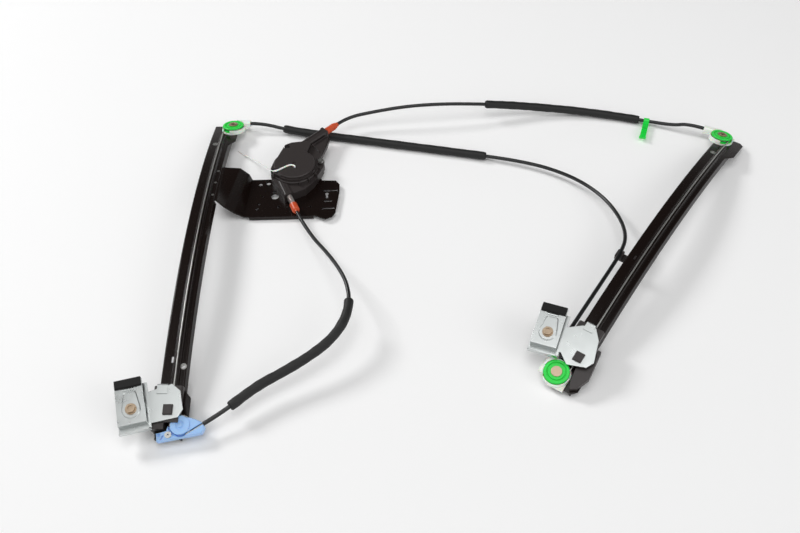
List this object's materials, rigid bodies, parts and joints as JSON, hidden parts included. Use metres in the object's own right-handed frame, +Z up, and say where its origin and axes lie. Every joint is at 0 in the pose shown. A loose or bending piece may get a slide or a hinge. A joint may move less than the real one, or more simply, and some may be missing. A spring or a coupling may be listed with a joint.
{
  "type": "window regulator",
  "caption": "Cable window regulator: arched rails, pulleys and a drum carry glass clamps up and down together.",
  "frame": {"origin": "middle of the footprint, on the surface the rails' ends stand on", "axes": "+Z up out of the arched rails, +Y towards the rails' heads, +X from the left rail to the right rail"},
  "size_m": [0.8452, 0.5813, 0.054],
  "materials": {
    "black_paint": "gloss",
    "black_plastic": "moulded",
    "zinc": "zinc plated",
    "yellow_zinc": "yellow passivated zinc",
    "steel": "bright",
    "rubber": "matte",
    "green_plastic": "moulded",
    "white_plastic": "moulded",
    "blue_plastic": "moulded",
    "orange_plastic": "moulded",
    "cable_sheath": "extruded",
    "foam": "closed cell foam"
  },
  "bodies": {
    "frame": {"cable_clip": "green_plastic", "cross_foam": "foam", "cross_outer_cable": "cable_sheath", "drum_housing": "black_plastic", "foot_buffer": "black_plastic", "foot_guide": "blue_plastic", "foot_guide_rivet": "steel", "housing_screws": "steel", "left_head_housing": "white_plastic", "left_rail": "black_paint", "left_wire": "steel", "lower_ferrule": "orange_plastic", "lower_foam": "foam", "lower_outer_cable": "cable_sheath", "lower_spring": "steel", "mounting_plate": "black_paint", "plate_rivets": "steel", "pulley_rivets": "yellow_zinc", "rail_clip": "black_plastic", "rail_inserts": "steel", "right_foot_housing": "white_plastic", "right_head_housing": "white_plastic", "right_rail": "black_paint", "right_wire": "steel", "transport_strap": "white_plastic", "upper_ferrule": "orange_plastic", "upper_foam": "foam", "upper_outer_cable": "cable_sheath", "upper_spring": "steel"},
    "left_carrier": {"left_slider": "black_plastic", "left_bracket": "zinc", "left_clamp_nut": "steel", "left_inner_pad": "rubber", "left_retainer": "zinc"},
    "left_jaw": {"left_jaw": "zinc", "left_outer_pad": "rubber"},
    "left_bolt": {"left_clamp_bolt": "yellow_zinc"},
    "right_carrier": {"right_slider": "black_plastic", "right_bracket": "zinc", "right_clamp_nut": "steel", "right_inner_pad": "rubber", "right_retainer": "zinc"},
    "right_jaw": {"right_jaw": "zinc", "right_outer_pad": "rubber"},
    "right_bolt": {"right_clamp_bolt": "yellow_zinc"},
    "left_head_pulley": {"left_head_pulley": "green_plastic"},
    "right_head_pulley": {"right_head_pulley": "green_plastic"},
    "right_foot_pulley": {"right_foot_pulley": "green_plastic"},
    "cable_drum": {"cable_drum": "white_plastic"}
  },
  "joints": [
    {"name": "left_lift", "type": "hinge", "parent": "frame", "child": "left_carrier", "pos_m": [-0.35237, -0.00063, -0.94771], "axis": [-0.9998, 0.0182, 0], "range_deg": [0, 24.06]},
    {"name": "right_lift", "type": "hinge", "parent": "frame", "child": "right_carrier", "pos_m": [0.25389, -0.00304, -0.94978], "axis": [-0.8117, 0.5841, 0], "range_deg": [0, 24.06]},
    {"name": "drum_spin", "type": "hinge", "parent": "frame", "child": "cable_drum", "pos_m": [-0.23611, 0.16193, 0.01803], "axis": [0, 0, 1], "range_deg": [0, 963.07]},
    {"name": "left_head_spin", "type": "hinge", "parent": "frame", "child": "left_head_pulley", "pos_m": [-0.33511, 0.2616, 0.01723], "axis": [0.0048, 0.2625, 0.9649], "range_deg": [-1926.14, 0]},
    {"name": "right_head_spin", "type": "hinge", "parent": "frame", "child": "right_head_pulley", "pos_m": [0.39255, 0.21103, 0.01723], "axis": [0.1488, 0.2068, 0.967], "range_deg": [0, 1926.14]},
    {"name": "right_foot_spin", "type": "hinge", "parent": "frame", "child": "right_foot_pulley", "pos_m": [0.09494, -0.20252, 0.01723], "axis": [-0.1488, -0.2068, 0.967], "range_deg": [0, 1926.14]},
    {"name": "left_jaw_slide", "type": "slide", "parent": "left_carrier", "child": "left_jaw", "axis": [-0.0045, -0.2462, 0.9692], "range_m": [0, 0.0025]},
    {"name": "left_bolt_turn", "type": "hinge", "parent": "left_jaw", "child": "left_bolt", "pos_m": [-0.39778, -0.24862, 0.02086], "axis": [-0.0045, -0.2462, 0.9692], "range_deg": [0, 901]},
    {"name": "right_jaw_slide", "type": "slide", "parent": "right_carrier", "child": "right_jaw", "axis": [-0.1335, -0.1855, 0.9735], "range_m": [0, 0.0025]},
    {"name": "right_bolt_turn", "type": "hinge", "parent": "right_jaw", "child": "right_bolt", "pos_m": [0.08932, -0.15828, 0.02526], "axis": [-0.1335, -0.1855, 0.9735], "range_deg": [0, 901]}
  ],
  "couplings": [
    {"joint": "right_lift", "follows": "left_lift", "ratio": 1},
    {"joint": "drum_spin", "follows": "left_lift", "ratio": 40},
    {"joint": "left_head_spin", "follows": "left_lift", "ratio": -80},
    {"joint": "right_head_spin", "follows": "left_lift", "ratio": 80},
    {"joint": "right_foot_spin", "follows": "left_lift", "ratio": 80},
    {"joint": "left_bolt_turn", "follows": "left_jaw_slide", "rad_per_m": 6283.2},
    {"joint": "right_bolt_turn", "follows": "right_jaw_slide", "rad_per_m": 6283.2}
  ]
}
